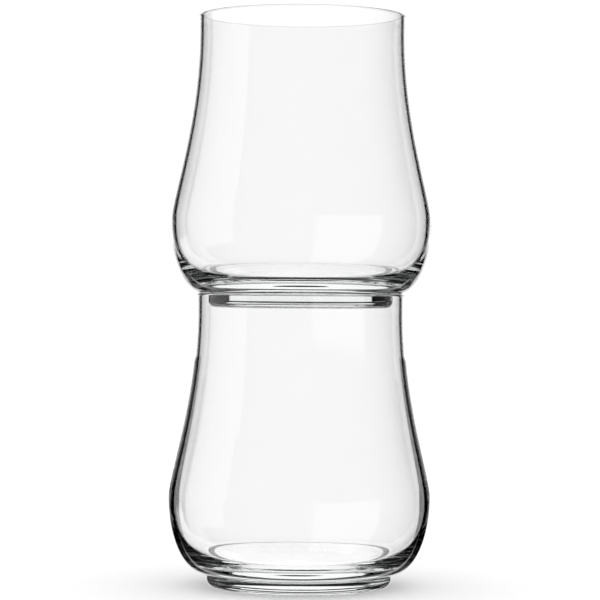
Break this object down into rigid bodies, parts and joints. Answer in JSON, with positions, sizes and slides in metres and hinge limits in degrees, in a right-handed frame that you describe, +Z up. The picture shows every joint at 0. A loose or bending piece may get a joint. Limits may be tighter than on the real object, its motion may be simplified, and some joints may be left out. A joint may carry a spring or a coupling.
{
  "type": "stacking mixing glass",
  "caption": "Clear stackable mixing tumblers with a low belly and thick foot, one standing in the mouth of the other; the upper lifts off.",
  "frame": {"origin": "centre of the lower glass's foot, on the surface it stands on", "axes": "+Z up along the glasses' common axis, out of the mouths; X and Y are free, because each glass is a body of revolution"},
  "size_m": [0.09, 0.09, 0.196],
  "materials": {
    "clear_glass": "fire-polished, clear"
  },
  "bodies": {
    "lower": {"lower_glass": "clear_glass"},
    "upper": {"upper_glass": "clear_glass"}
  },
  "joints": [
    {"name": "upper_glass_lift", "type": "slide", "parent": "lower", "child": "upper", "axis": [0, 0, 1], "range_m": [0, 0.04]}
  ]
}
